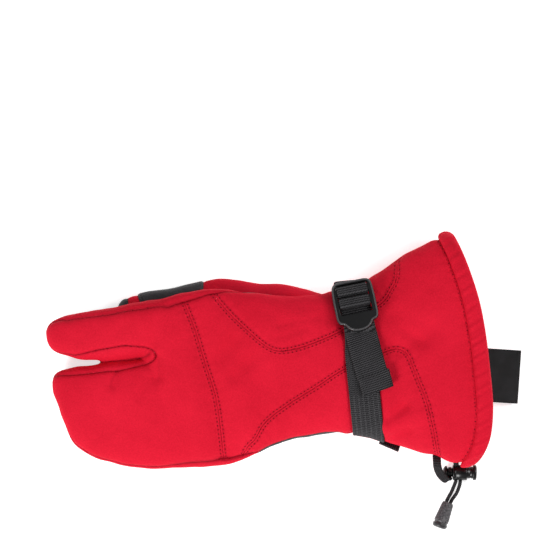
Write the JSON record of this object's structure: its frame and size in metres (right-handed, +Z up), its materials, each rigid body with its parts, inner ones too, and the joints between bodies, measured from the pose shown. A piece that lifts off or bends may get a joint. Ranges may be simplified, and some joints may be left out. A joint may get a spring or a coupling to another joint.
{
  "type": "snowmobile mitten",
  "caption": "Left-hand padded gauntlet mitten with a separate index finger, leather palm, wrist strap, ladder lock buckle, rolled cuff and drawcord lock.",
  "frame": {"origin": "centre of the footprint on the ground, without the drawcord's loose end, at the height of the ground", "axes": "+X runs from the fingertips to the cuff, +Y towards the thumb side, +Z up from the back of the hand; the palm lies down"},
  "size_m": [0.3122, 0.1952, 0.0443],
  "materials": {
    "softshell_red": "brushed three-layer softshell, finely grained, matt",
    "leather_black": "soft grained leather with a low sheen",
    "webbing_black": "ribbed woven webbing",
    "plastic_black": "moulded, smooth",
    "elastic_black": "braided elastic cord",
    "rubber_grey": "moulded soft rubber, matt",
    "satin_black": "woven satin label"
  },
  "bodies": {
    "mitten": {"finger_back": "softshell_red", "thumb_side_insert": "softshell_red", "heel_insert": "softshell_red", "hand_back": "softshell_red", "side_wall": "softshell_red", "palm_leather": "leather_black", "gauntlet_palm": "softshell_red", "thumb_leather": "leather_black", "thumb_back": "softshell_red", "thumb_patch": "leather_black", "hem": "softshell_red", "buckle": "plastic_black", "wrist_strap": "webbing_black", "strap_anchor": "webbing_black", "cord_lock_body": "plastic_black", "lock_tape": "webbing_black", "cord_end": "rubber_grey", "drawcord_strand_a": "elastic_black", "drawcord_strand_b": "elastic_black", "drawcord_lead": "elastic_black", "care_label": "satin_black"},
    "lock_button": {"cord_lock_button": "plastic_black"}
  },
  "joints": [
    {"name": "lock_button_press", "type": "slide", "parent": "mitten", "child": "lock_button", "axis": [-0.9945, 0.1045, 0], "range_m": [0, 0.0035], "stiffness_N_per_m": 1700}
  ]
}
